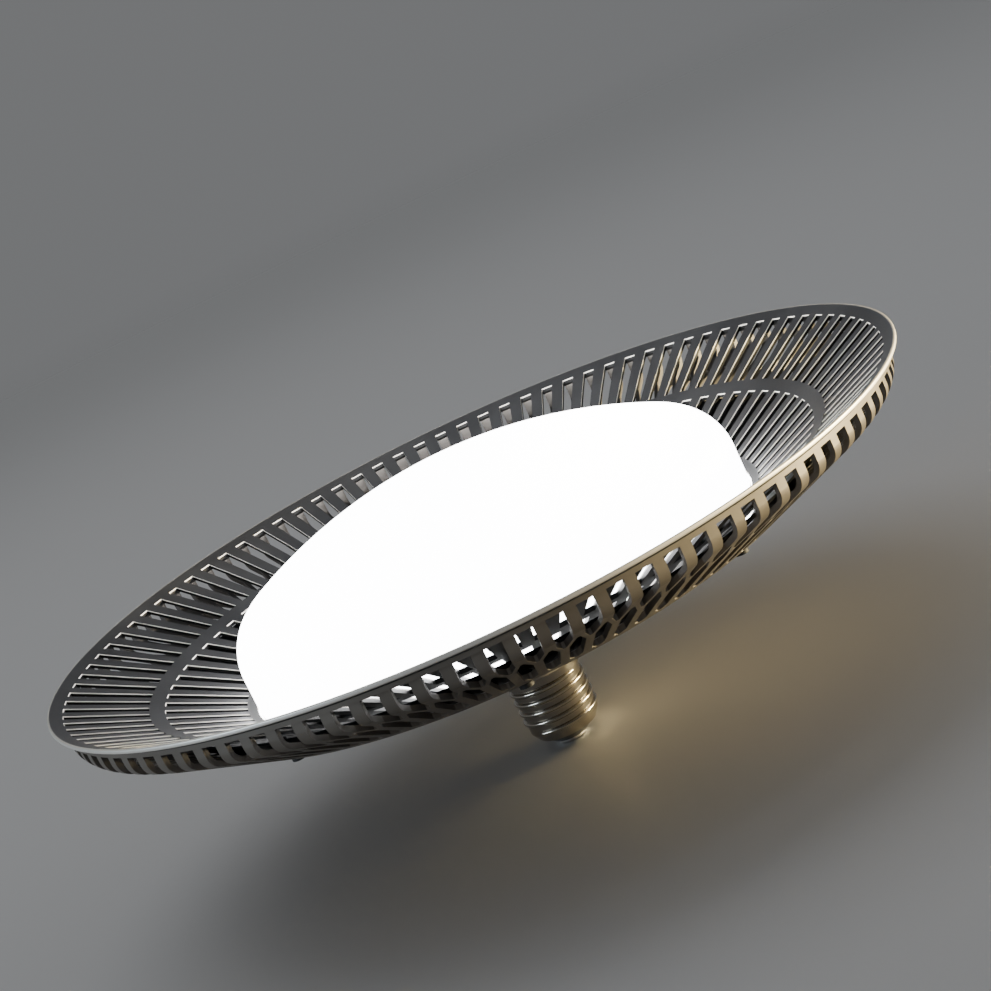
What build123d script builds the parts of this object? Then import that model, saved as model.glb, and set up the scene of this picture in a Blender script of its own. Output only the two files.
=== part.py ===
from build123d import *
import os
from math import atan, cos, degrees, radians, tan

# Saucer-shaped LED lamp with an Edison screw cap. The lamp's axis is Z, light leaves towards +Z, and the
# origin is the tip of the cap's centre contact. Lengths are in millimetres, angles in degrees.

os.makedirs("parts", exist_ok=True)

# Fits
seat_clearance = 0.1
screw_clearance = 0.1
wire_clearance = 0.3

# Saucer
rim_radius = 150.0
rim_height = 87.0
dish_angle = 26.3
lens_depth = 9.35

# Front grille
grille_thickness = 1.4
rim_edge_round = 0.5
outer_slot_count = 100
outer_slot_tip_radius = 145.3
outer_slot_root_radius = 120.6
inner_slot_count = 80
inner_slot_tip_radius = 116.0
inner_hoop_width = 2.2
inner_slot_margin = 0.6
slot_tip_width = 4.4
slot_root_width = 3.8

# Back shell
shell_thickness = 1.8
wall_radius = 146.2
top_ring_radius = 147.6
top_ring_height = 0.85
wall_corner_radius = 5.5
knee_radius = 108.0
knee_round = 12.0
hub_radius = 22.0
hub_height = 31.5
hub_round = 10.0
window_count = 100
upper_window_root_radius = 131.2
upper_window_tip_width = 5.7
upper_window_root_width = 5.0
upper_window_taper = 6.2
lower_window_tip_radius = 136.8
lower_window_root_radius = 111.0
lower_window_tip_width = 5.2
lower_window_root_width = 4.2
lower_window_taper = 7.2
window_point_width = 1.0
window_round = 1.7

# Diffuser
diffuser_radius = 88.6
diffuser_wall = 2.0
diffuser_straight_top = 69.0
diffuser_dome_height = 34.5
diffuser_shoulder_radius = 18.0
diffuser_flange_width = 2.5
diffuser_flange_thickness = 1.1
diffuser_gap = 0.6
gasket_thickness = 0.8
gasket_width = 2.8

# Light source
plate_radius = 86.0
plate_thickness = 2.5
lead_hole_radius = 7.0
board_radius = 71.0
board_thickness = 1.6
pad_thickness = 0.3
chip_length = 3.5
chip_width = 2.8
chip_thickness = 0.8
chip_rings = ((24.0, 12), (38.0, 20), (52.0, 28), (65.0, 36))
reflector_foot_radius = 73.0
reflector_foot_width = 1.5
reflector_foot_height = 2.5
reflector_rise = 5.0
reflector_thickness = 1.2
connector_length = 9.0
connector_width = 6.0
connector_height = 4.5
connector_distance = 13.0

# Screws
grille_screw_count = 8
grille_screw_circle = 103.0
grille_screw_radius = 1.25
grille_screw_length = 5.2
grille_screw_head_radius = 2.4
grille_screw_head_height = 1.6
grille_boss_radius = 3.2
grille_boss_height = 2.0
plate_screw_count = 4
plate_screw_circle = 79.0
plate_screw_radius = 1.4
plate_screw_length = 5.0
plate_boss_radius = 3.4
board_screw_count = 4
board_screw_circle = 58.5
board_screw_radius = 1.4
board_screw_length = 4.0
top_screw_head_radius = 2.7
top_screw_head_height = 1.8
recess_length = 2.6
recess_width = 0.6
recess_depth = 0.8
bottom_skin = 1.1

# Driver housing
housing_bore = 10.4
housing_lower_radius = 11.5
housing_upper_radius = 12.2
housing_bottom = 7.2
housing_floor = 1.5
collar_radius = 14.0
collar_round = 0.6
rail_depth = 1.3
rail_width = 1.0
rail_bottom = 13.0
nut_radius = 19.0
nut_height = 4.6
nut_sides = 8

# Screw cap, size E27
cap_top = 27.0
cap_skirt_radius = 13.1
cap_skirt_height = 2.6
cap_root_radius = 12.2
cap_wall = 0.5
cap_straight_bottom = 7.0
cap_bottom = 4.2
cap_bottom_radius = 10.4
thread_pitch = 3.629
thread_ridge_radius = 0.9
thread_start = 8.0
thread_start_angle = -129.0
thread_quarter_turns = 17
insulator_top = 6.9
insulator_bottom = 1.4
insulator_bottom_radius = 6.0
contact_radius = 5.0
contact_thickness = 1.3
contact_stem_radius = 2.0
contact_stem_top = 4.6

# Driver
driver_board_width = 19.0
driver_board_bottom = 10.0
driver_board_top = 48.0
driver_board_thickness = 1.2
lead_radius = 0.5
lead_bend_radius = 1.5
input_capacitor_radius = 4.0
input_capacitor_length = 12.0
input_capacitor_bottom = 22.5
output_capacitor_radius = 3.15
output_capacitor_length = 10.0
output_capacitor_bottom = 33.0
transformer_width = 11.0
transformer_depth = 7.5
transformer_height = 10.0
transformer_bottom = 36.0
transformer_yoke = 2.0
transformer_leg_radius = 1.8
transformer_side_leg = 1.5
winding_radius = 3.6
film_capacitor_size = (8.0, 5.0, 7.0)
film_capacitor_place = (-2.0, 14.5)
fuse_radius = 1.5
fuse_length = 8.0
fuse_place = (6.0, 11.0)
varistor_radius = 3.5
varistor_thickness = 3.0
varistor_place = (1.0, 14.5)
rectifier_size = (5.0, 2.2, 5.0)
rectifier_place = (0.0, 19.0)
choke_radius = 3.0
choke_flange_thickness = 1.0
choke_waist_radius = 2.2
choke_length = 6.0
choke_place = (-3.5, 28.5)
chip_package_size = (4.0, 1.6, 5.0)
chip_package_place = (4.5, 26.0)


# The saucer's surfaces, as heights over the tip at a given radius
dish_slope = tan(radians(dish_angle))
grille_depth = grille_thickness / cos(radians(dish_angle))
shell_depth = shell_thickness / cos(radians(dish_angle))


def dish_top(radius):
    return rim_height - (rim_radius - radius) * dish_slope


def dish_under(radius):
    return dish_top(radius) - grille_depth


def dish_middle(radius):
    return dish_top(radius) - grille_depth / 2


def cone_outer(radius):
    return dish_top(radius) - lens_depth


floor_slope = (cone_outer(knee_radius) - hub_height) / (knee_radius - hub_radius)
floor_depth = shell_thickness / cos(atan(floor_slope))


def cone_inner(radius):
    return cone_outer(radius) + shell_depth


def floor_outer(radius):
    return hub_height + (radius - hub_radius) * floor_slope


def floor_inner(radius):
    return floor_outer(radius) + floor_depth


def floor_middle(radius):
    return floor_outer(radius) + floor_depth / 2


# Heights and radii that follow from the sizes above
wall_inner_radius = wall_radius - shell_thickness
ring_bottom = dish_under(wall_radius) - seat_clearance - top_ring_height
knee_inner_radius = knee_radius + (floor_depth - shell_depth) / (dish_slope - floor_slope)
hub_inner_radius = hub_radius + (shell_thickness - floor_depth) / floor_slope
hub_top = hub_height + shell_thickness
hub_bore = housing_upper_radius + seat_clearance

flange_radius = diffuser_radius + diffuser_flange_width
gasket_bottom = floor_inner(flange_radius) + seat_clearance
flange_bottom = gasket_bottom + gasket_thickness + seat_clearance
flange_top = flange_bottom + diffuser_flange_thickness
grille_bore = diffuser_radius + diffuser_gap
hoop_radius = grille_bore + inner_hoop_width
hoop_bottom = flange_top + seat_clearance

plate_bottom = floor_inner(plate_radius) + seat_clearance
plate_top = plate_bottom + plate_thickness
pad_top = plate_top + pad_thickness
board_top = pad_top + board_thickness

bar_angle = 180 / inner_slot_count
grille_boss_top = floor_inner(grille_screw_circle + grille_boss_radius) + seat_clearance
grille_lug_bottom = grille_boss_top + seat_clearance
grille_screw_seat = grille_boss_top - grille_boss_height
plate_boss_top = plate_bottom - seat_clearance
plate_screw_angle = 45.0

board_face = driver_board_thickness / 2 + seat_clearance
lead_offset = driver_board_thickness / 2 + lead_radius + seat_clearance / 2


def corner(profile, radius, height):
    """The vertex of a profile nearest to a radius and a height."""
    return profile.vertices().sort_by_distance((radius, height))[0]


def radial_slot(root_radius, tip_radius, root_width, tip_width):
    """A slot along +X that widens outwards."""
    with BuildSketch() as slot:
        Polygon(
            (root_radius, -root_width / 2),
            (tip_radius, -tip_width / 2),
            (tip_radius, tip_width / 2),
            (root_radius, root_width / 2),
            align=None,
        )
    return slot.sketch


# Front grille: conical dish with two rings of radial slots, and a lug behind a bar for each grille screw
outer_slot = radial_slot(outer_slot_root_radius, outer_slot_tip_radius, slot_root_width, slot_tip_width)
inner_slot = radial_slot(
    hoop_radius + inner_slot_margin, inner_slot_tip_radius, slot_root_width, slot_tip_width
)

with BuildPart() as grille_lugs:
    lug_reach = 2 * grille_boss_radius
    with BuildSketch(Plane.XY.offset(grille_lug_bottom)):
        with PolarLocations(grille_screw_circle, grille_screw_count, start_angle=bar_angle):
            Circle(grille_boss_radius)
    extrude(amount=rim_height - grille_lug_bottom)
    with BuildSketch(Plane.XZ):
        with BuildLine():
            Polyline(
                (grille_screw_circle - lug_reach, dish_middle(grille_screw_circle - lug_reach)),
                (grille_screw_circle + lug_reach, dish_middle(grille_screw_circle + lug_reach)),
                (grille_screw_circle + lug_reach, rim_height + grille_thickness),
                (grille_screw_circle - lug_reach, rim_height + grille_thickness),
                close=True,
            )
        make_face()
    revolve(axis=Axis.Z, mode=Mode.SUBTRACT)

with BuildPart() as front_grille:
    with BuildSketch(Plane.XZ) as grille_profile:
        with BuildLine():
            Polyline(
                (grille_bore, dish_top(grille_bore)),
                (rim_radius, rim_height),
                (rim_radius, dish_under(rim_radius)),
                (hoop_radius, dish_under(hoop_radius)),
                (hoop_radius, hoop_bottom),
                (grille_bore, hoop_bottom),
                close=True,
            )
        make_face()
        fillet(corner(grille_profile, rim_radius, rim_height), rim_edge_round)
        fillet(corner(grille_profile, rim_radius, dish_under(rim_radius)), rim_edge_round)
    revolve(axis=Axis.Z)
    add(grille_lugs.part)
    with BuildSketch(Plane.XY.offset(grille_lug_bottom)):
        with PolarLocations(grille_screw_circle, grille_screw_count, start_angle=bar_angle):
            Circle(grille_screw_radius + screw_clearance)
    extrude(
        amount=dish_top(grille_screw_circle - grille_screw_radius) - bottom_skin - grille_lug_bottom,
        mode=Mode.SUBTRACT,
    )
    with BuildSketch(Plane.XY.offset(rim_height)):
        with PolarLocations(0, outer_slot_count):
            add(outer_slot)
        with PolarLocations(0, inner_slot_count):
            add(inner_slot)
    extrude(amount=hoop_bottom - rim_height, mode=Mode.SUBTRACT, clean=False)
front_grille.part.label = "front_grille"
export_step(front_grille.part, "parts/front_grille.step")


# Back shell: saucer of one sheet, with two rows of windows, bosses for the screws and a plain hub. An upper
# window narrows towards the hub and a lower one towards the rim, so the rows reach in between each other
window_pitch = 360 / window_count
with BuildSketch() as upper_window:
    Polygon(
        (upper_window_root_radius, -window_point_width / 2),
        (upper_window_root_radius + upper_window_taper, -upper_window_root_width / 2),
        (top_ring_radius + shell_thickness, -upper_window_tip_width / 2),
        (top_ring_radius + shell_thickness, upper_window_tip_width / 2),
        (upper_window_root_radius + upper_window_taper, upper_window_root_width / 2),
        (upper_window_root_radius, window_point_width / 2),
        align=None,
    )

with BuildSketch() as lower_window:
    Polygon(
        (lower_window_root_radius, -lower_window_root_width / 2),
        (lower_window_tip_radius - lower_window_taper, -lower_window_tip_width / 2),
        (lower_window_tip_radius, -window_point_width / 2),
        (lower_window_tip_radius, window_point_width / 2),
        (lower_window_tip_radius - lower_window_taper, lower_window_tip_width / 2),
        (lower_window_root_radius, lower_window_root_width / 2),
        align=None,
    )
    chamfer(lower_window.vertices().group_by(Axis.X)[0], window_round)

with BuildPart() as shell_bosses:
    with BuildSketch(Plane.XY.offset(grille_boss_top)):
        with PolarLocations(grille_screw_circle, grille_screw_count, start_angle=bar_angle):
            Circle(grille_boss_radius)
    extrude(amount=hub_height - grille_boss_top)
    with BuildSketch(Plane.XY.offset(plate_boss_top)):
        with PolarLocations(plate_screw_circle, plate_screw_count, start_angle=plate_screw_angle):
            Circle(plate_boss_radius)
    extrude(amount=hub_height - plate_boss_top)
    with BuildSketch(Plane.XZ):
        with BuildLine():
            Polyline(
                (hub_radius, floor_middle(hub_radius)),
                (knee_radius, floor_middle(knee_radius)),
                (knee_radius, hub_height - shell_thickness),
                (hub_radius, hub_height - shell_thickness),
                close=True,
            )
        make_face()
    revolve(axis=Axis.Z, mode=Mode.SUBTRACT)

with BuildPart() as back_shell:
    with BuildSketch(Plane.XZ) as shell_profile:
        with BuildLine():
            Polyline(
                (hub_bore, hub_height),
                (hub_radius, hub_height),
                (knee_radius, cone_outer(knee_radius)),
                (wall_radius, cone_outer(wall_radius)),
                (wall_radius, ring_bottom),
                (top_ring_radius, ring_bottom),
                (top_ring_radius, dish_under(top_ring_radius) - seat_clearance),
                (wall_inner_radius, dish_under(wall_inner_radius) - seat_clearance),
                (wall_inner_radius, cone_inner(wall_inner_radius)),
                (knee_inner_radius, cone_inner(knee_inner_radius)),
                (hub_inner_radius, hub_top),
                (hub_bore, hub_top),
                close=True,
            )
        make_face()
        fillet(corner(shell_profile, wall_radius, cone_outer(wall_radius)), wall_corner_radius)
        fillet(
            corner(shell_profile, wall_inner_radius, cone_inner(wall_inner_radius)),
            wall_corner_radius - shell_thickness,
        )
        fillet(corner(shell_profile, knee_radius, cone_outer(knee_radius)), knee_round)
        fillet(corner(shell_profile, knee_inner_radius, cone_inner(knee_inner_radius)), knee_round - shell_thickness)
        fillet(corner(shell_profile, hub_radius, hub_height), hub_round)
        fillet(corner(shell_profile, hub_inner_radius, hub_top), hub_round - shell_thickness)
    revolve(axis=Axis.Z)
    add(shell_bosses.part)
    with BuildSketch(Plane.XY.offset(grille_boss_top)):
        with PolarLocations(grille_screw_circle, grille_screw_count, start_angle=bar_angle):
            Circle(grille_screw_radius + screw_clearance)
    extrude(amount=hub_height - grille_boss_top, mode=Mode.SUBTRACT)
    with BuildSketch(Plane.XY.offset(grille_screw_seat)):
        with PolarLocations(grille_screw_circle, grille_screw_count, start_angle=bar_angle):
            Circle(grille_screw_head_radius + wire_clearance)
    extrude(amount=hub_height - grille_screw_seat, mode=Mode.SUBTRACT)
    with BuildSketch(Plane.XY.offset(plate_boss_top)):
        with PolarLocations(plate_screw_circle, plate_screw_count, start_angle=plate_screw_angle):
            Circle(plate_screw_radius + screw_clearance)
    extrude(
        amount=floor_outer(plate_screw_circle + plate_screw_radius) + bottom_skin - plate_boss_top,
        mode=Mode.SUBTRACT,
    )
    with BuildSketch(Plane.XY.offset(ring_bottom)):
        with PolarLocations(0, window_count, start_angle=window_pitch / 2):
            add(upper_window.sketch)
        with PolarLocations(0, window_count):
            add(lower_window.sketch)
    extrude(amount=hub_height - ring_bottom, mode=Mode.SUBTRACT, clean=False)
back_shell.part.label = "back_shell"
export_step(back_shell.part, "parts/back_shell.step")


# Grille screws: pan heads under the back shell, shanks up through its bosses into the grille's lugs
with BuildPart() as grille_screws:
    head_top = grille_screw_seat - seat_clearance
    with BuildSketch(Plane.XY.offset(head_top)):
        with PolarLocations(grille_screw_circle, grille_screw_count, start_angle=bar_angle):
            Circle(grille_screw_head_radius)
    extrude(amount=-grille_screw_head_height)
    with BuildSketch(Plane.XY.offset(head_top)):
        with PolarLocations(grille_screw_circle, grille_screw_count, start_angle=bar_angle):
            Circle(grille_screw_radius)
    extrude(amount=grille_screw_length)
    with BuildSketch(Plane.XY.offset(head_top - grille_screw_head_height)):
        with PolarLocations(grille_screw_circle, grille_screw_count, start_angle=bar_angle):
            Rectangle(recess_length, recess_width)
            Rectangle(recess_width, recess_length)
    extrude(amount=recess_depth, mode=Mode.SUBTRACT)
grille_screws.part.label = "grille_screws"
export_step(grille_screws.part, "parts/grille_screws.step")


# Diffuser: opal dome on a short upright wall, with a flange at its foot. The dome is two tangent arcs
shoulder_centre = diffuser_radius - diffuser_shoulder_radius
crown_radius = (shoulder_centre**2 + diffuser_dome_height**2 - diffuser_shoulder_radius**2) / (
    2 * (diffuser_dome_height - diffuser_shoulder_radius)
)
crown_drop = crown_radius - diffuser_dome_height
crown_angle = degrees(atan(shoulder_centre / crown_drop))
with BuildPart() as diffuser:
    with BuildSketch(Plane.XZ):
        with BuildLine():
            outer_shoulder = CenterArc(
                (shoulder_centre, diffuser_straight_top), diffuser_shoulder_radius, 0, 90 - crown_angle
            )
            outer_crown = CenterArc(
                (0, diffuser_straight_top - crown_drop), crown_radius, 90 - crown_angle, crown_angle
            )
            inner_crown = CenterArc(
                (0, diffuser_straight_top - crown_drop),
                crown_radius - diffuser_wall,
                90 - crown_angle,
                crown_angle,
            )
            inner_shoulder = CenterArc(
                (shoulder_centre, diffuser_straight_top),
                diffuser_shoulder_radius - diffuser_wall,
                0,
                90 - crown_angle,
            )
            Line(outer_crown @ 1, inner_crown @ 1)
            Polyline(
                inner_shoulder @ 0,
                (diffuser_radius - diffuser_wall, flange_bottom),
                (flange_radius, flange_bottom),
                (flange_radius, flange_top),
                (diffuser_radius, flange_top),
                outer_shoulder @ 0,
            )
        make_face()
    revolve(axis=Axis.Z)
diffuser.part.label = "diffuser"
export_step(diffuser.part, "parts/diffuser.step")


# Gasket: soft ring between the diffuser's flange and the back shell
with BuildPart() as diffuser_gasket:
    with BuildSketch(Plane.XY.offset(gasket_bottom)):
        Circle(flange_radius)
        Circle(flange_radius - gasket_width, mode=Mode.SUBTRACT)
    extrude(amount=gasket_thickness)
diffuser_gasket.part.label = "diffuser_gasket"
export_step(diffuser_gasket.part, "parts/diffuser_gasket.step")


# LED plate: aluminium disc on the back shell's bosses, which carries the LED board and takes its heat
with BuildPart() as led_plate:
    with BuildSketch(Plane.XY.offset(plate_bottom)):
        Circle(plate_radius)
        Circle(lead_hole_radius, mode=Mode.SUBTRACT)
        with PolarLocations(plate_screw_circle, plate_screw_count, start_angle=plate_screw_angle):
            Circle(plate_screw_radius + screw_clearance, mode=Mode.SUBTRACT)
        with PolarLocations(board_screw_circle, board_screw_count, start_angle=plate_screw_angle):
            Circle(board_screw_radius + screw_clearance, mode=Mode.SUBTRACT)
    extrude(amount=plate_thickness)
led_plate.part.label = "led_plate"
export_step(led_plate.part, "parts/led_plate.step")


# Thermal pad: thin grey sheet between the plate and the board
with BuildPart() as thermal_pad:
    with BuildSketch(Plane.XY.offset(plate_top)):
        Circle(board_radius - seat_clearance)
        Circle(lead_hole_radius, mode=Mode.SUBTRACT)
        with PolarLocations(board_screw_circle, board_screw_count, start_angle=plate_screw_angle):
            Circle(board_screw_radius + wire_clearance, mode=Mode.SUBTRACT)
    extrude(amount=pad_thickness)
thermal_pad.part.label = "thermal_pad"
export_step(thermal_pad.part, "parts/thermal_pad.step")


# LED board: white metal-core disc
with BuildPart() as led_board:
    with BuildSketch(Plane.XY.offset(pad_top)):
        Circle(board_radius)
        Circle(lead_hole_radius, mode=Mode.SUBTRACT)
        with PolarLocations(board_screw_circle, board_screw_count, start_angle=plate_screw_angle):
            Circle(board_screw_radius + wire_clearance, mode=Mode.SUBTRACT)
    extrude(amount=board_thickness)
led_board.part.label = "led_board"
export_step(led_board.part, "parts/led_board.step")


# LED chips: four rings of small packages on the board
with BuildPart() as led_chips:
    with BuildSketch(Plane.XY.offset(board_top)):
        for ring_radius, ring_count in chip_rings:
            with PolarLocations(ring_radius, ring_count):
                Rectangle(chip_width, chip_length)
    extrude(amount=chip_thickness)
led_chips.part.label = "led_chips"
export_step(led_chips.part, "parts/led_chips.step")


# Board screws and plate screws: pan heads on top, shanks down into the plate or into the shell's bosses
with BuildPart() as board_screws:
    board_head_bottom = board_top + seat_clearance
    with BuildSketch(Plane.XY.offset(board_head_bottom)):
        with PolarLocations(board_screw_circle, board_screw_count, start_angle=plate_screw_angle):
            Circle(top_screw_head_radius)
    extrude(amount=top_screw_head_height)
    with BuildSketch(Plane.XY.offset(board_head_bottom)):
        with PolarLocations(board_screw_circle, board_screw_count, start_angle=plate_screw_angle):
            Circle(board_screw_radius)
    extrude(amount=-board_screw_length)
    with BuildSketch(Plane.XY.offset(board_head_bottom + top_screw_head_height)):
        with PolarLocations(board_screw_circle, board_screw_count, start_angle=plate_screw_angle):
            Rectangle(recess_length, recess_width)
            Rectangle(recess_width, recess_length)
    extrude(amount=-recess_depth, mode=Mode.SUBTRACT)
board_screws.part.label = "board_screws"
export_step(board_screws.part, "parts/board_screws.step")

with BuildPart() as plate_screws:
    plate_head_bottom = plate_top + seat_clearance
    with BuildSketch(Plane.XY.offset(plate_head_bottom)):
        with PolarLocations(plate_screw_circle, plate_screw_count, start_angle=plate_screw_angle):
            Circle(top_screw_head_radius)
    extrude(amount=top_screw_head_height)
    with BuildSketch(Plane.XY.offset(plate_head_bottom)):
        with PolarLocations(plate_screw_circle, plate_screw_count, start_angle=plate_screw_angle):
            Circle(plate_screw_radius)
    extrude(amount=-plate_screw_length)
    with BuildSketch(Plane.XY.offset(plate_head_bottom + top_screw_head_height)):
        with PolarLocations(plate_screw_circle, plate_screw_count, start_angle=plate_screw_angle):
            Rectangle(recess_length, recess_width)
            Rectangle(recess_width, recess_length)
    extrude(amount=-recess_depth, mode=Mode.SUBTRACT)
plate_screws.part.label = "plate_screws"
export_step(plate_screws.part, "parts/plate_screws.step")


# Reflector ring: white cone around the board, standing on the plate, that turns stray light forwards
with BuildPart() as reflector_ring:
    reflector_foot = plate_top + seat_clearance
    reflector_outer_radius = diffuser_radius - diffuser_wall - wire_clearance
    cone_base = reflector_foot + reflector_foot_height
    with BuildSketch(Plane.XZ):
        with BuildLine():
            Polyline(
                (reflector_foot_radius, reflector_foot),
                (reflector_foot_radius + reflector_foot_width, reflector_foot),
                (reflector_foot_radius + reflector_foot_width, cone_base),
                (reflector_outer_radius, cone_base + reflector_rise),
                (reflector_outer_radius, cone_base + reflector_rise + reflector_thickness),
                (reflector_foot_radius, cone_base + reflector_thickness),
                close=True,
            )
        make_face()
    revolve(axis=Axis.Z)
reflector_ring.part.label = "reflector_ring"
export_step(reflector_ring.part, "parts/reflector_ring.step")


# Lead connector: two-pole block on the board beside the lead hole, with an entry for each lead
with BuildPart() as lead_connector:
    with BuildSketch(Plane.XY.offset(board_top)):
        with Locations((0, -connector_distance)):
            Rectangle(connector_length, connector_width)
    extrude(amount=connector_height)
    chamfer(lead_connector.edges().group_by(Axis.Z)[-1], seat_clearance * 4)
    with BuildSketch(Plane.XZ.offset(connector_distance - connector_width / 2)):
        with Locations(
            (-connector_length / 4, board_top + connector_height / 2),
            (connector_length / 4, board_top + connector_height / 2),
        ):
            Circle(lead_radius + wire_clearance)
    extrude(amount=connector_width / 2, mode=Mode.SUBTRACT)
lead_connector.part.label = "lead_connector"
export_step(lead_connector.part, "parts/lead_connector.step")


# Driver housing: plastic tube that fills the cap, shows as a collar, and reaches up to the LED plate
with BuildPart() as driver_housing:
    collar_bottom = cap_top + seat_clearance
    collar_top = hub_height - seat_clearance
    housing_top = plate_bottom - seat_clearance
    with BuildSketch(Plane.XZ) as housing_profile:
        with BuildLine():
            Polyline(
                (contact_stem_radius, housing_bottom),
                (housing_lower_radius, housing_bottom),
                (housing_lower_radius, collar_bottom),
                (collar_radius, collar_bottom),
                (collar_radius, collar_top),
                (housing_upper_radius, collar_top),
                (housing_upper_radius, housing_top),
                (housing_bore, housing_top),
                (housing_bore, housing_bottom + housing_floor),
                (contact_stem_radius, housing_bottom + housing_floor),
                close=True,
            )
        make_face()
        fillet(corner(housing_profile, collar_radius, collar_bottom), collar_round)
    revolve(axis=Axis.Z)
    rail_reach = housing_bore + (housing_lower_radius - housing_bore) / 2
    rail_side = board_face + rail_width / 2
    with BuildSketch(Plane.XY.offset(rail_bottom)):
        for side in (-1, 1):
            with Locations((side * (rail_reach - rail_depth / 2), rail_side)):
                Rectangle(rail_depth, rail_width)
            with Locations((side * (rail_reach - rail_depth / 2), -rail_side)):
                Rectangle(rail_depth, rail_width)
    extrude(amount=driver_board_top - rail_bottom)
    neutral_exit = housing_bottom + housing_floor + lead_radius + wire_clearance
    with BuildSketch(Plane.YZ.offset(-housing_lower_radius)):
        with Locations((-lead_offset, neutral_exit)):
            Circle(lead_radius + wire_clearance)
    extrude(amount=housing_lower_radius - housing_bore + lead_radius, mode=Mode.SUBTRACT)
driver_housing.part.label = "driver_housing"
export_step(driver_housing.part, "parts/driver_housing.step")


# Housing nut: eight-sided ring inside the back shell, which clamps the shell's hub on the collar
with BuildPart() as housing_nut:
    with BuildSketch(Plane.XY.offset(hub_top + seat_clearance)):
        RegularPolygon(nut_radius, nut_sides)
        Circle(housing_upper_radius + seat_clearance, mode=Mode.SUBTRACT)
    extrude(amount=nut_height)
    chamfer(housing_nut.faces().sort_by(Axis.Z)[-1].outer_wire().edges(), collar_round)
housing_nut.part.label = "housing_nut"
export_step(housing_nut.part, "parts/housing_nut.step")


# Cap shell: skirt, straight wall with a rolled thread, and a tapered lip around the insulator. The thread is
# one rounded ridge, made of quarter turns that follow on from each other
with BuildPart() as quarter_turn:
    with BuildLine():
        thread_path = Helix(thread_pitch, thread_pitch / 4, cap_root_radius)
    with BuildSketch(Plane(origin=thread_path @ 0, x_dir=(1, 0, 0), z_dir=thread_path % 0)):
        Circle(thread_ridge_radius)
        with Locations((-(thread_ridge_radius + cap_wall / 2), 0)):
            Rectangle(2 * thread_ridge_radius, 4 * thread_ridge_radius, mode=Mode.SUBTRACT)
    sweep(is_frenet=True)

thread_places = [
    Location((0, 0, thread_start + turn * thread_pitch / 4), (0, 0, thread_start_angle + turn * 90))
    for turn in range(thread_quarter_turns)
]
with BuildPart() as cap_shell:
    skirt_bottom = cap_top - cap_skirt_height
    with BuildSketch(Plane.XZ):
        with BuildLine():
            Polyline(
                (cap_root_radius - cap_wall, cap_straight_bottom),
                (cap_bottom_radius - cap_wall, cap_bottom),
                (cap_bottom_radius, cap_bottom),
                (cap_root_radius, cap_straight_bottom),
                (cap_root_radius, skirt_bottom - cap_wall),
                (cap_skirt_radius, skirt_bottom),
                (cap_skirt_radius, cap_top),
                (cap_skirt_radius - cap_wall, cap_top),
                (cap_skirt_radius - cap_wall, skirt_bottom + cap_wall),
                (cap_root_radius - cap_wall, skirt_bottom),
                close=True,
            )
        make_face()
    revolve(axis=Axis.Z)
    with Locations(*thread_places):
        add(quarter_turn.part)
cap_shell.part.label = "cap_shell"
export_step(cap_shell.part, "parts/cap_shell.step")


# Cap insulator: black glass cone between the cap shell and the centre contact
with BuildPart() as cap_insulator:
    with BuildSketch(Plane.XZ):
        with BuildLine():
            Polyline(
                (contact_stem_radius + seat_clearance, insulator_top),
                (cap_root_radius - cap_wall - 2 * seat_clearance, insulator_top),
                (cap_bottom_radius - cap_wall - 2 * seat_clearance, cap_bottom),
                (insulator_bottom_radius, insulator_bottom),
                (contact_stem_radius + seat_clearance, insulator_bottom),
                close=True,
            )
        make_face()
    revolve(axis=Axis.Z)
cap_insulator.part.label = "cap_insulator"
export_step(cap_insulator.part, "parts/cap_insulator.step")


# Centre contact: flat button at the tip, with a stem up through the insulator
with BuildPart() as centre_contact:
    Cylinder(contact_radius, contact_thickness, align=(Align.CENTER, Align.CENTER, Align.MIN))
    fillet(centre_contact.edges().group_by(Axis.Z)[0], contact_thickness / 2)
    Cylinder(contact_stem_radius, contact_stem_top, align=(Align.CENTER, Align.CENTER, Align.MIN))
centre_contact.part.label = "centre_contact"
export_step(centre_contact.part, "parts/centre_contact.step")


# Driver board: upright in the housing's rails
with BuildPart() as driver_board:
    with BuildSketch(Plane.XY.offset(driver_board_bottom)):
        Rectangle(driver_board_width, driver_board_thickness)
    extrude(amount=driver_board_top - driver_board_bottom)
driver_board.part.label = "driver_board"
export_step(driver_board.part, "parts/driver_board.step")


# Parts on the board's front face, which looks towards +Y
with BuildPart() as input_capacitor:
    with BuildSketch(Plane.XY.offset(input_capacitor_bottom)):
        with Locations((0, board_face + input_capacitor_radius)):
            Circle(input_capacitor_radius)
    extrude(amount=input_capacitor_length)
    fillet(input_capacitor.edges().filter_by(GeomType.CIRCLE), collar_round)
input_capacitor.part.label = "input_capacitor"
export_step(input_capacitor.part, "parts/input_capacitor.step")

transformer_centre = board_face + transformer_depth / 2
window_height = transformer_height - 2 * transformer_yoke
with BuildPart() as transformer_core:
    with BuildSketch(Plane.XY.offset(transformer_bottom)):
        with Locations((0, transformer_centre)):
            Rectangle(transformer_width, transformer_depth)
    extrude(amount=transformer_height)
    with BuildSketch(Plane.XY.offset(transformer_bottom + transformer_yoke)):
        with Locations((0, transformer_centre)):
            Rectangle(transformer_width - 2 * transformer_side_leg, transformer_depth * 2)
            Circle(transformer_leg_radius, mode=Mode.SUBTRACT)
    extrude(amount=window_height, mode=Mode.SUBTRACT)
transformer_core.part.label = "transformer_core"
export_step(transformer_core.part, "parts/transformer_core.step")

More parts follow.
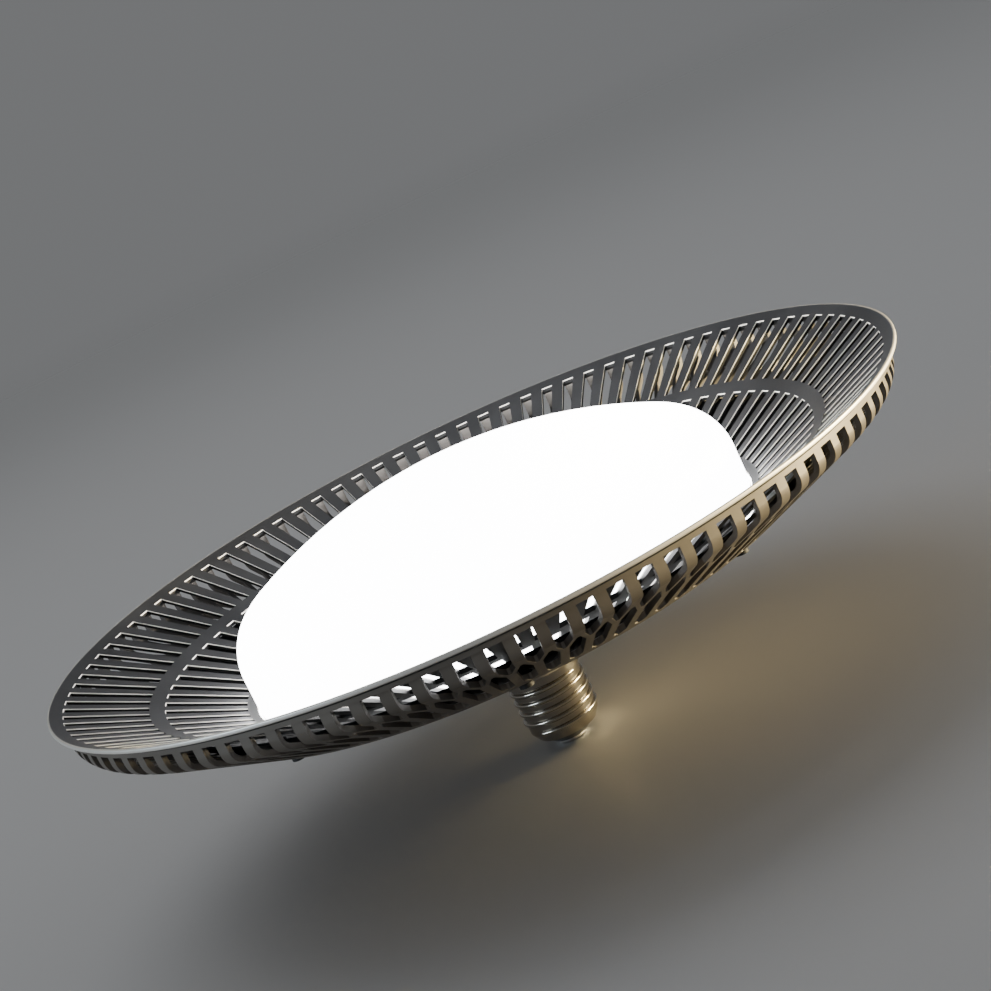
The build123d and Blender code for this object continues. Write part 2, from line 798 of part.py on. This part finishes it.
with BuildPart() as transformer_winding:
    with BuildSketch(Plane.XY.offset(transformer_bottom + transformer_yoke + seat_clearance)):
        with Locations((0, transformer_centre)):
            Circle(winding_radius)
            Circle(transformer_leg_radius + seat_clearance, mode=Mode.SUBTRACT)
    extrude(amount=window_height - 2 * seat_clearance)
transformer_winding.part.label = "transformer_winding"
export_step(transformer_winding.part, "parts/transformer_winding.step")

with BuildPart() as film_capacitor:
    with BuildSketch(Plane.XY.offset(film_capacitor_place[1])):
        with Locations((film_capacitor_place[0], board_face + film_capacitor_size[1] / 2)):
            RectangleRounded(film_capacitor_size[0], film_capacitor_size[1], collar_round)
    extrude(amount=film_capacitor_size[2])
film_capacitor.part.label = "film_capacitor"
export_step(film_capacitor.part, "parts/film_capacitor.step")

with BuildPart() as fuse_resistor:
    with BuildSketch(Plane.XY.offset(fuse_place[1])):
        with Locations((fuse_place[0], board_face + fuse_radius)):
            Circle(fuse_radius)
    extrude(amount=fuse_length)
    fillet(fuse_resistor.edges().filter_by(GeomType.CIRCLE), collar_round)
fuse_resistor.part.label = "fuse_resistor"
export_step(fuse_resistor.part, "parts/fuse_resistor.step")


# Parts on the board's back face, which looks towards -Y
with BuildPart() as varistor:
    with BuildSketch(Plane.XZ.offset(board_face)):
        with Locations(varistor_place):
            Circle(varistor_radius)
    extrude(amount=varistor_thickness)
    fillet(varistor.edges().filter_by(GeomType.CIRCLE), collar_round)
varistor.part.label = "varistor"
export_step(varistor.part, "parts/varistor.step")

with BuildPart() as bridge_rectifier:
    with BuildSketch(Plane.XY.offset(rectifier_place[1])):
        with Locations((rectifier_place[0], -board_face - rectifier_size[1] / 2)):
            Rectangle(rectifier_size[0], rectifier_size[1])
    extrude(amount=rectifier_size[2])
bridge_rectifier.part.label = "bridge_rectifier"
export_step(bridge_rectifier.part, "parts/bridge_rectifier.step")

with BuildPart() as choke:
    with BuildSketch(Plane.XZ.offset(board_face)):
        with Locations(choke_place):
            Circle(choke_radius)
    extrude(amount=choke_length)
    with BuildSketch(Plane.XZ.offset(board_face + choke_flange_thickness)):
        with Locations(choke_place):
            Circle(choke_radius * 2)
            Circle(choke_waist_radius, mode=Mode.SUBTRACT)
    extrude(amount=choke_length - 2 * choke_flange_thickness, mode=Mode.SUBTRACT)
choke.part.label = "choke"
export_step(choke.part, "parts/choke.step")

with BuildPart() as driver_chip:
    with BuildSketch(Plane.XY.offset(chip_package_place[1])):
        with Locations((chip_package_place[0], -board_face - chip_package_size[1] / 2)):
            Rectangle(chip_package_size[0], chip_package_size[1])
    extrude(amount=chip_package_size[2])
driver_chip.part.label = "driver_chip"
export_step(driver_chip.part, "parts/driver_chip.step")

with BuildPart() as output_capacitor:
    with BuildSketch(Plane.XY.offset(output_capacitor_bottom)):
        with Locations((0, -board_face - output_capacitor_radius)):
            Circle(output_capacitor_radius)
    extrude(amount=output_capacitor_length)
    fillet(output_capacitor.edges().filter_by(GeomType.CIRCLE), collar_round)
output_capacitor.part.label = "output_capacitor"
export_step(output_capacitor.part, "parts/output_capacitor.step")


# Leads: mains from the centre contact and from the cap shell, and two to the connector on the LED board
with BuildPart() as live_lead:
    with BuildLine() as live_route:
        FilletPolyline(
            (0, 0, contact_stem_top + seat_clearance / 2),
            (0, 0, contact_stem_top + lead_bend_radius),
            (0, lead_offset, housing_bottom + housing_floor - lead_radius),
            (0, lead_offset, driver_board_bottom + lead_bend_radius * 2),
            radius=lead_bend_radius,
        )
    with BuildSketch(Plane(origin=live_route.line @ 0, z_dir=live_route.line % 0)):
        Circle(lead_radius)
    sweep()
live_lead.part.label = "live_lead"
export_step(live_lead.part, "parts/live_lead.step")

with BuildPart() as neutral_lead:
    neutral_attach = driver_board_width / 4
    with BuildLine() as neutral_route:
        FilletPolyline(
            (-(housing_lower_radius + seat_clearance), -lead_offset, neutral_exit),
            (-neutral_attach, -lead_offset, neutral_exit),
            (-neutral_attach, -lead_offset, driver_board_bottom + lead_bend_radius * 3),
            radius=lead_bend_radius,
        )
    with BuildSketch(Plane(origin=neutral_route.line @ 0, z_dir=neutral_route.line % 0)):
        Circle(lead_radius)
    sweep()
neutral_lead.part.label = "neutral_lead"
export_step(neutral_lead.part, "parts/neutral_lead.step")

entry_height = board_top + connector_height / 2
entry_front = -connector_distance + connector_width / 2
led_lead_start = output_capacitor_bottom + output_capacitor_length + lead_radius * 2
with BuildPart() as led_positive_lead:
    with BuildLine() as positive_route:
        FilletPolyline(
            (connector_length / 4, -lead_offset, led_lead_start),
            (connector_length / 4, -lead_offset, entry_height),
            (connector_length / 4, entry_front - connector_width / 2 + seat_clearance, entry_height),
            radius=lead_bend_radius * 2,
        )
    with BuildSketch(Plane(origin=positive_route.line @ 0, z_dir=positive_route.line % 0)):
        Circle(lead_radius)
    sweep()
led_positive_lead.part.label = "led_positive_lead"
export_step(led_positive_lead.part, "parts/led_positive_lead.step")

with BuildPart() as led_negative_lead:
    with BuildLine() as negative_route:
        FilletPolyline(
            (-connector_length / 4, -lead_offset, led_lead_start),
            (-connector_length / 4, -lead_offset, entry_height),
            (-connector_length / 4, entry_front - connector_width / 2 + seat_clearance, entry_height),
            radius=lead_bend_radius * 2,
        )
    with BuildSketch(Plane(origin=negative_route.line @ 0, z_dir=negative_route.line % 0)):
        Circle(lead_radius)
    sweep()
led_negative_lead.part.label = "led_negative_lead"
export_step(led_negative_lead.part, "parts/led_negative_lead.step")
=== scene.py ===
import math

import bpy
from mathutils import Matrix, Vector


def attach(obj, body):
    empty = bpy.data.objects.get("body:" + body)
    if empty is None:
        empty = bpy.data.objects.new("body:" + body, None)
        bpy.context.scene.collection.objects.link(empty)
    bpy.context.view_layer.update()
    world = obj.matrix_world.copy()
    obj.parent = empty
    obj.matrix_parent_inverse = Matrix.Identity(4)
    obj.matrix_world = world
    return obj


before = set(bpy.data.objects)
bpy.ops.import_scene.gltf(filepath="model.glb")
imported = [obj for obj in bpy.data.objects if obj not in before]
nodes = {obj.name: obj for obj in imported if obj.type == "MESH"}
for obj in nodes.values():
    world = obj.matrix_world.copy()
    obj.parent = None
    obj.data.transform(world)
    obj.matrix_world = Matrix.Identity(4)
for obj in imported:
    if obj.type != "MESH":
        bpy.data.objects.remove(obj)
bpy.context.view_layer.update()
mm = 0.001

# The front of the dish is a cone that rises to the rim.
rim_radius = 150 * mm
rim_height = 87 * mm
dish_slope = math.tan(math.radians(26.3))


def dish_front(radius):
    """The height of the dish's front at a radius, which is a number or a shader value."""
    return rim_height - (rim_radius - radius) * dish_slope


# ---- shader maths --------------------------------------------------------------------------------


class Value:
    """A node's output. Sums and products of values add the Math nodes that work them out."""

    def __init__(self, finish, socket):
        self.finish = finish
        self.socket = socket

    def _math(self, operation, *parts):
        return self.finish.node("Math", {"operation": operation}, *parts)

    def __add__(self, other):
        return self._math("ADD", self, other)

    def __sub__(self, other):
        return self._math("SUBTRACT", self, other)

    def __rsub__(self, other):
        return self._math("SUBTRACT", other, self)

    def __mul__(self, other):
        return self._math("MULTIPLY", self, other)

    def __truediv__(self, other):
        return self._math("DIVIDE", self, other)

    def __pow__(self, other):
        return self._math("POWER", self, other)

    __radd__ = __add__
    __rmul__ = __mul__

    def __abs__(self):
        return self._math("ABSOLUTE", self)

    def steps(self, low, high):
        """0 below low, 1 above high, and a smooth rise between them."""
        smooth = {"interpolation_type": "SMOOTHSTEP"}
        return self.finish.node("MapRange", smooth, self, low, high, 0.0, 1.0)

    def axes(self):
        """The three parts of a vector."""
        split = self.finish.node("SeparateXYZ", None, self)
        return split.part("X"), split.part("Y"), split.part("Z")

    def part(self, name):
        """Another output of the node that this value comes from."""
        return Value(self.finish, self.socket.node.outputs[name])


class Finish:
    """One material. Its shader's constant sockets are set directly, and its varying ones linked."""

    def __init__(self, name):
        self.material = bpy.data.materials.new(name)
        self.material.use_nodes = True
        self.tree = self.material.node_tree
        self.shader = self.tree.nodes["Principled BSDF"]

    def node(self, kind, settings=None, *values, **named):
        """Adds a node. Its settings come first, then the values or links of its sockets, by place
        among the sockets that those settings leave in use, or by name."""
        made = self.tree.nodes.new("ShaderNode" + kind)
        for key, setting in (settings or {}).items():
            setattr(made, key, setting)
        in_use = [socket for socket in made.inputs if socket.enabled]
        for socket, value in zip(in_use, values):
            self._feed(socket, value)
        for name, value in named.items():
            self._feed(made.inputs[name], value)
        return Value(self, next(socket for socket in made.outputs if socket.enabled))

    def _feed(self, socket, value):
        if isinstance(value, Value):
            self.tree.links.new(value.socket, socket)
        elif socket.type == "RGBA":
            socket.default_value = (*value, 1.0)
        else:
            socket.default_value = value

    def place(self):
        """The point on the piece, in metres, in the piece's own frame."""
        return self.node("TexCoord").part("Object")

    def noise(self, point, scale, detail, roughness=0.5):
        return self.node(
            "TexNoise", None, Vector=point, Scale=scale, Detail=detail, Roughness=roughness
        )

    def mix(self, mask, first, second):
        """The first colour where the mask is 0, and the second where it is 1."""
        return self.node("Mix", {"data_type": "RGBA"}, mask, first, second)

    def bump(self, height, depth, strength):
        """A normal from a height between 0 and 1. Depth is in metres."""
        return self.node("Bump", None, Strength=strength, Distance=depth, Height=height)

    def fade(self, mask):
        """Lets the finish fade out to nothing where the mask is 1."""
        solid = Value(self, self.shader.outputs["BSDF"])
        faded = self.node("MixShader", None, mask, solid, self.node("BsdfTransparent"))
        self._feed(self.tree.nodes["Material Output"].inputs["Surface"], faded)

    def set(self, **sockets):
        """Sets or links the shader's sockets. An underscore stands for a space in a name."""
        for name, value in sockets.items():
            self._feed(self.shader.inputs[name.replace("_", " ")], value)
        return self


# ---- finishes ------------------------------------------------------------------------------------


def coated_metal(name, colour, worn_colour, roughness, metallic, highlight_colour, wall_shade, shade_colour, front):
    """Dark satin coat on pressed metal, with an orange peel.

    The rim's edge and the tops of the slot walls, just under the dish's front, are painted
    highlight, and the slot walls below them painted shade. Front is 1 for the piece that is the
    dish's front, which has dark painted shade at its foot only, around the diffuser. Front is 0 for
    the piece behind it, which has dark painted shade wherever it faces up, into the lamp.
    """
    highlight_depth, highlight_end_depth = 0.36 * mm, 0.50 * mm
    rim_start, rim_end = 149.0 * mm, 149.6 * mm
    foot_start, foot_end = 91.0 * mm, 94.0 * mm
    highlight_share, foot_shade, edge_dullness = 0.85, 0.85, 0.7

    coat = Finish(name)
    point = coat.place()
    across, along, height = point.axes()
    facing_x, facing_y, facing_up = coat.node("NewGeometry").part("Normal").axes()
    radius = (across * across + along * along) ** 0.5
    outward = (across * facing_x + along * facing_y) / radius
    mottle = coat.noise(point, scale=38.0, detail=5.0)
    grain = coat.noise(point, scale=1900.0, detail=2.0)
    peel = coat.noise(point, scale=620.0, detail=3.0)

    depth = dish_front(radius) - height
    # Painted highlight: the edge mask along the tops of the slot walls and the rim mask at the
    # rim's edge take the highlight colour, and the walls' tops are made less metallic.
    edge = 1 - depth.steps(highlight_depth, highlight_end_depth)
    rim = radius.steps(rim_start, rim_end)
    # Painted shade: a dark ring around the diffuser's foot, on the dish's front only.
    foot = (1 - radius.steps(foot_start, foot_end)) * foot_shade * front
    # Painted shade: cut marks the slot walls, which take a darker colour under their painted
    # highlight.
    upright = 1 - abs(facing_up).steps(0.25, 0.6)
    cut = upright * (1 - outward.steps(0.5, 0.8))

    worn = coat.mix(mottle.steps(0.35, 0.7), colour, worn_colour)
    # Painted shade on the piece behind the front, wherever it faces up, into the lamp.
    shaded = coat.mix(facing_up.steps(0.3, 0.7) * (1 - front), worn, shade_colour)
    footed = coat.mix(foot, shaded, shade_colour)
    walled = coat.mix(cut, footed, coat.mix(edge * highlight_share, wall_shade, highlight_colour))
    return coat.set(
        Base_Color=coat.mix(rim, walled, highlight_colour),
        Metallic=metallic * (1 - cut * edge * edge_dullness),
        Roughness=roughness + (mottle - 0.5) * 0.12 + (grain - 0.5) * 0.08 + foot * 0.5,
        Normal=coat.bump(peel * 0.7 + grain * 0.3, depth=0.06 * mm, strength=0.5),
    )


def plain_metal(name, colour, roughness, brushed=0.0):
    """Bare or plated metal, with fine handling marks and, if asked, brushing across the axis."""
    brush_scale = (30.0, 1600.0, 1600.0)
    metal = Finish(name)
    point = metal.place()
    marks = metal.noise(point, scale=420.0, detail=6.0, roughness=0.7)
    stain = metal.noise(point, scale=60.0, detail=3.0)
    stretched = metal.node("VectorMath", {"operation": "MULTIPLY"}, point, brush_scale)
    lines = metal.noise(stretched, scale=1.0, detail=3.0)
    stained_colour = tuple(0.72 * part for part in colour)
    relief = marks * (1.0 - brushed) + lines * brushed
    return metal.set(
        Base_Color=metal.mix(stain.steps(0.4, 0.75), colour, stained_colour),
        Metallic=1.0,
        Roughness=roughness + (marks - 0.5) * 0.2 + (lines - 0.5) * (0.25 * brushed),
        Normal=metal.bump(relief, depth=0.03 * mm, strength=0.4),
    )


def moulded(name, colour, roughness, texture_strength=0.5):
    """Moulded plastic or rubber with a fine spark-eroded texture."""
    plastic = Finish(name)
    point = plastic.place()
    texture = plastic.noise(point, scale=2400.0, detail=3.0)
    cloud = plastic.noise(point, scale=90.0, detail=3.0)
    clouded_colour = tuple(min(1.0, 1.12 * part + 0.01) for part in colour)
    return plastic.set(
        Base_Color=plastic.mix(cloud.steps(0.3, 0.7), colour, clouded_colour),
        Roughness=roughness + (texture - 0.5) * 0.15,
        Normal=plastic.bump(texture, depth=0.04 * mm, strength=texture_strength),
    )


def printed_board(name, lacquer, copper):
    """Circuit board: lacquer over tracks that show as slightly lighter, raised bands."""
    board = Finish(name)
    point = board.place()
    to_edge = {"feature": "DISTANCE_TO_EDGE"}
    cells = board.node("TexVoronoi", to_edge, Vector=point, Scale=260.0)
    tracks = 1 - cells.steps(0.06, 0.11)
    speckle = board.noise(point, scale=900.0, detail=2.0)
    return board.set(
        Base_Color=board.mix(tracks, lacquer, copper),
        Roughness=0.32 + speckle * 0.12,
        Normal=board.bump(tracks, depth=0.05 * mm, strength=0.6),
    )


def phosphor():
    """The tops of the LED packages: grainy yellow phosphor that glows a little."""
    led = Finish("led_phosphor")
    point = led.place()
    grains = led.noise(point, scale=3000.0, detail=2.0)
    return led.set(
        Base_Color=led.mix(grains.steps(0.3, 0.7), (0.95, 0.80, 0.30), (0.98, 0.92, 0.62)),
        Roughness=0.4 + grains * 0.1,
        Emission_Color=led.mix(grains, (1.0, 0.93, 0.80), (1.0, 0.98, 0.92)),
        Emission_Strength=2.0,
    )


def lit_opal():
    """Opal dome, lit from within: even white light above the dish and at the foot below it. The
    band between, behind the inner edge of the grille, is painted shade: dark grey, with no glow."""
    dark_start, dark_full = 55.90 * mm, 56.05 * mm
    light_start, light_full = 56.7 * mm, 57.3 * mm
    opal = Finish("lit_opal")
    point = opal.place()
    _, _, height = point.axes()
    cloud = opal.noise(point, scale=30.0, detail=3.0)
    haze = opal.noise(point, scale=1500.0, detail=2.0)
    # Painted shade: the band behind the grille's inner edge is dark grey and gives no glow.
    painted_shade_band = height.steps(dark_start, dark_full) * (1 - height.steps(light_start, light_full))
    lit = opal.mix(cloud, (0.97, 0.98, 1.0), (1.0, 1.0, 1.0))
    return opal.set(
        Base_Color=opal.mix(painted_shade_band, lit, (0.03, 0.03, 0.03)),
        Roughness=0.38 + haze * 0.1,
        Emission_Color=opal.mix(painted_shade_band, lit, (0.0, 0.0, 0.0)),
        Emission_Strength=15.0,
        Normal=opal.bump(haze, depth=0.02 * mm, strength=0.3),
    )


finishes = {
    # The dish
    "front_grille": coated_metal(
        "grille_coat",
        colour=(0.040, 0.040, 0.042),
        worn_colour=(0.058, 0.058, 0.060),
        roughness=0.45,
        metallic=0.7,
        # painted highlight on the rim's edge and the slot walls' tops
        highlight_colour=(0.84, 0.80, 0.72),
        # painted shade in the slot walls
        wall_shade=(0.006, 0.006, 0.006),
        # painted shade at the diffuser's foot
        shade_colour=(0.012, 0.012, 0.012),
        front=1.0,
    ),
    "back_shell": coated_metal(
        "shell_coat",
        colour=(0.150, 0.132, 0.110),
        worn_colour=(0.190, 0.169, 0.142),
        roughness=0.44,
        metallic=0.45,
        # painted highlight on the rim's edge and the slot walls' tops
        highlight_colour=(0.16, 0.15, 0.14),
        # painted shade in the slot walls
        wall_shade=(0.10, 0.09, 0.08),
        # painted shade where the shell faces up, into the lamp
        shade_colour=(0.020, 0.019, 0.018),
        front=0.0,
    ),
    "grille_screws": plain_metal("black_screws", (0.05, 0.05, 0.05), 0.5),
    # The light
    "diffuser": lit_opal(),
    "diffuser_gasket": moulded("grey_silicone", (0.42, 0.42, 0.41), 0.65),
    "reflector_ring": moulded("white_reflector", (0.86, 0.86, 0.85), 0.45),
    "led_plate": plain_metal("brushed_aluminium", (0.80, 0.81, 0.82), 0.36, brushed=0.8),
    "thermal_pad": moulded("grey_thermal_pad", (0.30, 0.31, 0.33), 0.8),
    "led_board": printed_board("white_led_board", (0.84, 0.84, 0.82), (0.74, 0.74, 0.72)),
    "led_chips": phosphor(),
    "board_screws": plain_metal("zinc_board_screws", (0.52, 0.52, 0.52), 0.36),
    "plate_screws": plain_metal("zinc_plate_screws", (0.50, 0.50, 0.50), 0.40),
    "lead_connector": moulded("white_connector", (0.82, 0.82, 0.80), 0.42),
    # The driver
    "driver_housing": moulded("warm_grey_collar", (0.235, 0.215, 0.190), 0.46),
    "housing_nut": moulded("white_nut", (0.78, 0.78, 0.76), 0.48),
    "driver_board": printed_board("green_board", (0.02, 0.16, 0.07), (0.05, 0.28, 0.13)),
    "fuse_resistor": moulded("green_fuse", (0.22, 0.42, 0.36), 0.30, 0.2),
    "varistor": moulded("blue_varistor", (0.03, 0.09, 0.40), 0.30, 0.2),
    "film_capacitor": moulded("yellow_film_case", (0.62, 0.42, 0.05), 0.30, 0.2),
    "bridge_rectifier": moulded("black_rectifier", (0.02, 0.02, 0.02), 0.50),
    "input_capacitor": moulded("black_input_sleeve", (0.02, 0.025, 0.04), 0.28, 0.2),
    "output_capacitor": moulded("black_output_sleeve", (0.02, 0.02, 0.03), 0.28, 0.2),
    "transformer_core": moulded("grey_ferrite", (0.045, 0.045, 0.05), 0.62),
    "transformer_winding": moulded("yellow_tape", (0.60, 0.45, 0.05), 0.35, 0.3),
    "choke": moulded("ferrite_choke", (0.05, 0.05, 0.055), 0.60),
    "driver_chip": moulded("black_chip", (0.015, 0.015, 0.015), 0.45),
    "live_lead": moulded("brown_live_wire", (0.45, 0.03, 0.02), 0.42),
    "neutral_lead": moulded("black_neutral_wire", (0.02, 0.02, 0.02), 0.42),
    "led_positive_lead": moulded("red_led_wire", (0.50, 0.02, 0.02), 0.42),
    "led_negative_lead": moulded("black_led_wire", (0.02, 0.02, 0.02), 0.42),
    # The screw cap
    "cap_shell": plain_metal("nickel_cap", (0.46, 0.42, 0.36), 0.20),
    "cap_insulator": moulded("black_cap_glass", (0.012, 0.012, 0.014), 0.12, 0.1),
    "centre_contact": plain_metal("tinned_contact", (0.70, 0.68, 0.63), 0.34),
}

for name, finish in finishes.items():
    piece = nodes[name]
    piece.data.materials.clear()
    piece.data.materials.append(finish.material)


# ---- painted shade sheet -------------------------------------------------------------------------


def slot_shade_sheet():
    """Thin dark cone close behind the inner slots, a sheet of painted shade. It shows only through
    the slots and windows.
    """
    inner, outer = 92.5 * mm, 117.5 * mm
    gap, thickness = 3.0 * mm, 0.8 * mm
    sides = 160
    top, bottom = gap, gap + thickness
    profile = [
        (radius, dish_front(radius) - depth)
        for radius, depth in ((inner, top), (inner, bottom), (outer, bottom), (outer, top))
    ]
    corners = len(profile)
    points, faces = [], []
    for side in range(sides):
        turn = 2 * math.pi * side / sides
        cos, sin = math.cos(turn), math.sin(turn)
        points += [(radius * cos, radius * sin, height) for radius, height in profile]
        here, there = corners * side, corners * ((side + 1) % sides)
        for corner in range(corners):
            after = (corner + 1) % corners
            faces.append((here + corner, here + after, there + after, there + corner))
    mesh = bpy.data.meshes.new("slot_shade_sheet")
    mesh.from_pydata(points, [], faces)
    # Black, as painted shade behind the slots.
    mesh.materials.append(plain_metal("black_shade_sheet", (0.010, 0.010, 0.011), 0.7).material)
    shade_sheet = bpy.data.objects.new("slot_shade_sheet", mesh)
    bpy.context.scene.collection.objects.link(shade_sheet)
    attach(shade_sheet, "root")
    return shade_sheet


shade_sheet = slot_shade_sheet()


# ---- floor, light and camera ---------------------------------------------------------------------


def pale_floor():
    """A wide, round, plain floor just under the tip of the cap, which fades into the pale room."""
    reach, sides = 14.0, 96
    clearance = 0.3 * mm
    fade_start, fade_end = 0.4, 6.0  # squares of the distance from the lamp's axis, in metres
    turns = [2 * math.pi * side / sides for side in range(sides)]
    edge = [(reach * math.cos(turn), reach * math.sin(turn), -clearance) for turn in turns]
    mesh = bpy.data.meshes.new("floor")
    mesh.from_pydata(edge, [], [range(sides)])
    floor = bpy.data.objects.new("floor", mesh)
    bpy.context.scene.collection.objects.link(floor)

    paper = Finish("pale_floor")
    point = paper.place()
    across, along, _ = point.axes()
    cloud = paper.noise(point, scale=3.0, detail=2.0)
    paper.set(
        Base_Color=paper.mix(cloud, (0.72, 0.72, 0.72), (0.74, 0.74, 0.74)),
        Roughness=0.55,
    )
    paper.fade((across * across + along * along).steps(fade_start, fade_end))
    mesh.materials.append(paper.material)


def pale_room(strength):
    """Even, faint light from all sides, in the colour of the room."""
    world = bpy.data.worlds.new("pale_room")
    world.use_nodes = True
    background = world.node_tree.nodes["Background"]
    background.inputs["Color"].default_value = (0.86, 0.88, 0.90, 1.0)
    background.inputs["Strength"].default_value = strength
    bpy.context.scene.world = world


def soft_light(name, place, target, size, power, colour, spread=180, lit=None):
    """A panel of light, as wide and high as its size, that looks at its target. Spread is in
    degrees. Lit is the collection that the light falls on, where it isn't meant for all."""
    data = bpy.data.lights.new(name, "AREA")
    data.shape = "RECTANGLE"
    data.size, data.size_y = size
    data.energy = power
    data.color = colour
    data.spread = math.radians(spread)
    light = bpy.data.objects.new(name, data)
    light.location = place
    light.rotation_euler = (Vector(target) - Vector(place)).to_track_quat("-Z", "Y").to_euler()
    bpy.context.scene.collection.objects.link(light)
    if lit:
        light.light_linking.receiver_collection = lit


def lamp_pieces():
    """The lamp without the floor, for the lights that would tint the floor."""
    collection = bpy.data.collections.new("pieces")
    for piece in [shade_sheet, *(nodes[name] for name in finishes)]:
        collection.objects.link(piece)
    return collection


def photo_camera():
    """The photograph's view, worked out from the rim, the slots and the cap. The camera looks along
    +Y, turned by its azimuth, from above by its elevation. It is rolled, because the lamp in the
    photograph lies on its side."""
    place = (0.0685, -0.73362, 0.25204)
    azimuth, elevation, roll = math.radians(4.46), math.radians(12.715), math.radians(-25.513)
    data = bpy.data.cameras.new("photo_camera")
    data.lens = 84.0
    data.sensor_width = 36.0
    data.clip_start, data.clip_end = 0.05, 60.0
    camera = bpy.data.objects.new("photo_camera", data)
    camera.matrix_world = (
        Matrix.Translation(place)
        @ Matrix.Rotation(azimuth, 4, "Z")
        @ Matrix.Rotation(math.pi / 2 - elevation, 4, "X")
        @ Matrix.Rotation(roll, 4, "Z")
    )
    bpy.context.scene.collection.objects.link(camera)
    bpy.context.scene.camera = camera


pale_floor()
pale_room(strength=0.20)
soft_light(
    "overhead",
    place=(-0.3, 0.5, 1.5),
    target=(0, 0, 0.05),
    size=(1.2, 1.2),
    power=5.0,
    colour=(0.95, 0.97, 1.0),
)
lamp = lamp_pieces()
soft_light(
    "warm_side",
    place=(1.15, 0.05, 0.09),
    target=(0, -0.05, 0.08),
    size=(0.5, 0.14),
    power=9.0,
    colour=(1.0, 0.82, 0.46),
    spread=60,
    lit=lamp,
)
soft_light(
    "cool_side",
    place=(-0.90, -0.45, 0.30),
    target=(0, 0, 0.08),
    size=(0.5, 0.2),
    power=0.65,
    colour=(0.70, 0.84, 1.0),
    spread=60,
    lit=lamp,
)
photo_camera()
